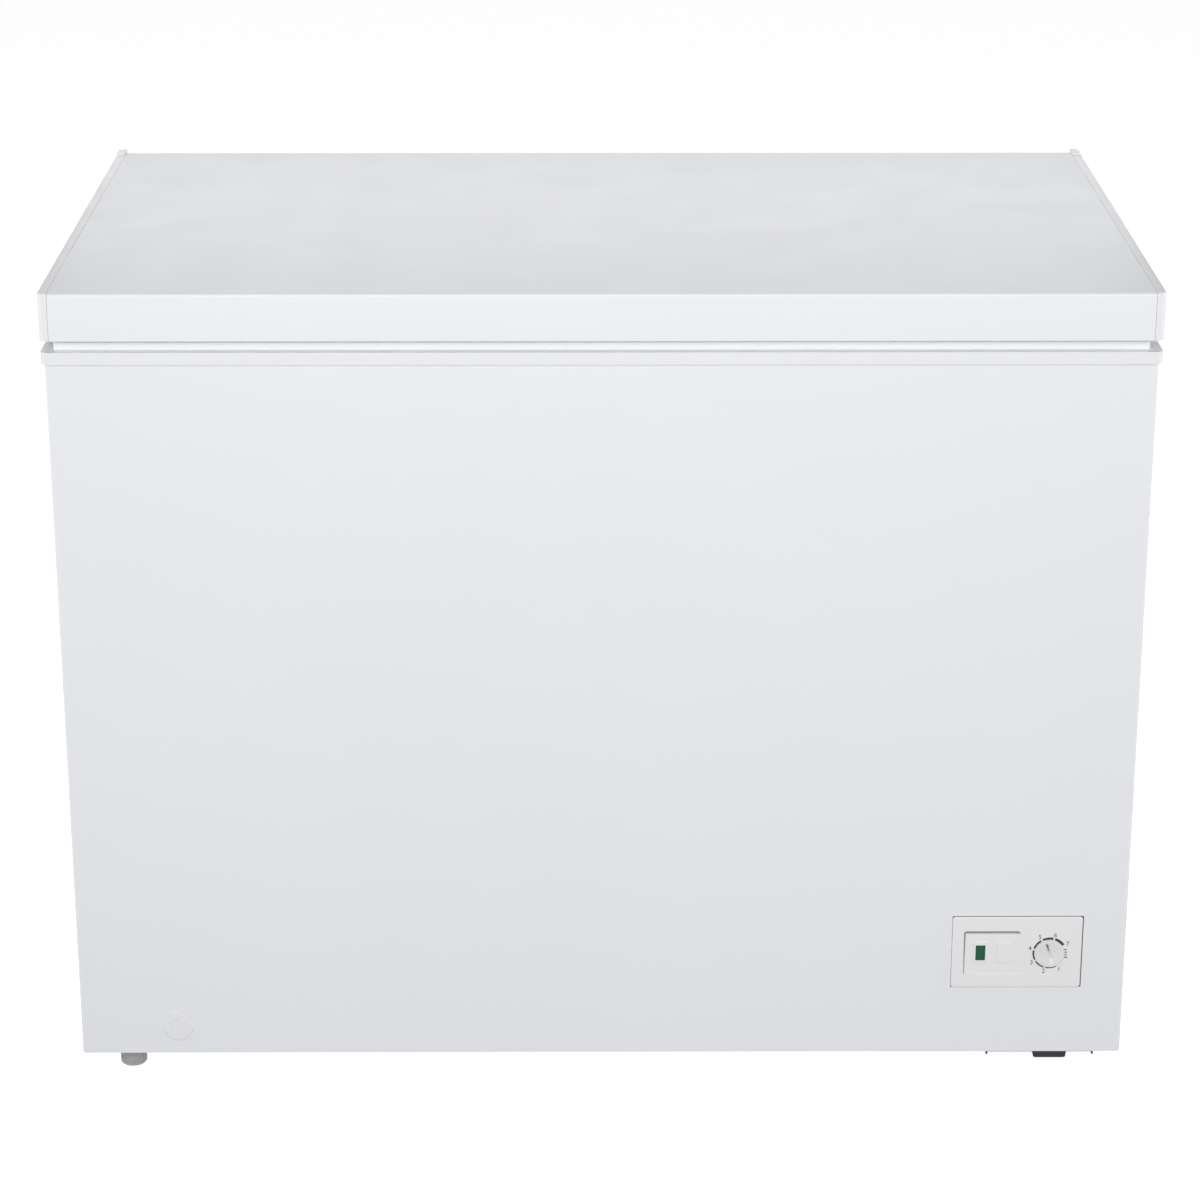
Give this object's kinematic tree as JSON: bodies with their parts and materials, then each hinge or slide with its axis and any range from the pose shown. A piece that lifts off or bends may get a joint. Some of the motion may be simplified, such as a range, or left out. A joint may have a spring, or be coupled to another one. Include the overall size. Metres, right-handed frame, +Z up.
{
  "type": "chest freezer",
  "caption": "White chest freezer with a flat hinged lid, a low front control panel, a front drain outlet and an aluminium-lined tub with a step over its compressor.",
  "frame": {"origin": "on the floor under the centre of the bounding box, with the lid shut", "axes": "+Z up, +X to the right of someone facing the control panel, +Y from the front to the hinges"},
  "size_m": [1.115, 0.65, 0.86],
  "materials": {
    "white_steel": "satin",
    "galvanised": "satin",
    "foam": "matte",
    "embossed_aluminium": "satin",
    "white_plastic": "satin",
    "panel_plastic": "satin",
    "dark_steel": "satin",
    "compressor_black": "satin",
    "black_rubber": "matte",
    "zinc": "satin",
    "black_plastic": "matte",
    "copper": "satin",
    "aluminium_tube": "satin",
    "steel_tube": "satin",
    "green_lens": "gloss",
    "grey_plastic": "satin",
    "grey_rubber": "matte",
    "white_rubber": "satin",
    "basket_wire": "gloss",
    "hinge_steel": "satin"
  },
  "bodies": {
    "cabinet": {"outer_cabinet": "white_steel", "back_panel": "galvanised", "base_panel": "galvanised", "insulation_foam": "foam", "inner_liner": "embossed_aluminium", "top_collar": "white_plastic", "compartment_liner": "galvanised", "compressor_rail": "dark_steel", "compressor": "compressor_black", "compressor_grommets": "black_rubber", "compressor_bolts": "zinc", "relay_cover": "black_plastic", "suction_tube": "copper", "discharge_tube": "copper", "filter_drier": "copper", "capillary_tube": "copper", "evaporator_tube": "aluminium_tube", "condenser_tube": "steel_tube", "wiring_harness": "black_plastic", "rear_machine_cover": "galvanised", "cover_screws": "zinc", "cord_gland": "black_rubber", "side_vent_grille": "white_plastic", "control_bezel": "panel_plastic", "indicator_frame": "panel_plastic", "indicator_lens": "green_lens", "blanking_cap": "panel_plastic", "thermostat_body": "black_plastic", "thermostat_capillary": "copper", "drain_tube": "grey_plastic", "foot_inserts": "zinc", "block_foot_front": "black_rubber", "block_foot_rear": "black_rubber", "hinge_lower_leaf_left": "hinge_steel", "hinge_lower_leaf_right": "hinge_steel", "hinge_pin_left": "zinc", "hinge_pin_right": "zinc", "hinge_spring_left": "zinc", "hinge_spring_right": "zinc", "hinge_screws_cabinet": "zinc"},
    "lid": {"lid_panel": "white_steel", "lid_end_cap_left": "white_plastic", "lid_end_cap_right": "white_plastic", "lid_foam": "foam", "lid_inner_liner": "white_plastic", "lid_gasket": "white_rubber", "hinge_upper_leaf_left": "hinge_steel", "hinge_upper_leaf_right": "hinge_steel", "hinge_screws_lid": "zinc"},
    "thermostat_dial": {"thermostat_knob": "panel_plastic", "thermostat_shaft": "zinc"},
    "front_drain_cap": {"drain_cap": "white_plastic"},
    "tub_drain_plug": {"drain_plug": "grey_rubber"},
    "storage_basket": {"basket": "basket_wire"},
    "levelling_front": {"levelling_foot_front": "grey_plastic", "levelling_stud_front": "zinc"},
    "levelling_rear": {"levelling_foot_rear": "grey_plastic", "levelling_stud_rear": "zinc"}
  },
  "joints": [
    {"name": "lid_hinge", "type": "hinge", "parent": "cabinet", "child": "lid", "pos_m": [0, 0.3135, 0.8005], "axis": [-1, 0, 0], "range_deg": [0, 80]},
    {"name": "thermostat_turn", "type": "hinge", "parent": "cabinet", "child": "thermostat_dial", "pos_m": [0.4735, -0.3223, 0.1383], "axis": [0, 1, 0], "range_deg": [-193, 122]},
    {"name": "drain_cap_pull", "type": "slide", "parent": "cabinet", "child": "front_drain_cap", "axis": [0, -1, 0], "range_m": [0, 0.025]},
    {"name": "drain_plug_lift", "type": "slide", "parent": "cabinet", "child": "tub_drain_plug", "axis": [0, 0, 1], "range_m": [0, 0.04]},
    {"name": "basket_slide", "type": "slide", "parent": "cabinet", "child": "storage_basket", "axis": [1, 0, 0], "range_m": [0, 0.701]},
    {"name": "front_foot_turn", "type": "hinge", "parent": "cabinet", "child": "levelling_front", "pos_m": [-0.503, -0.2965, 0], "axis": [0, 0, 1], "continuous": true},
    {"name": "rear_foot_turn", "type": "hinge", "parent": "cabinet", "child": "levelling_rear", "pos_m": [-0.503, 0.265, 0], "axis": [0, 0, 1], "continuous": true}
  ]
}
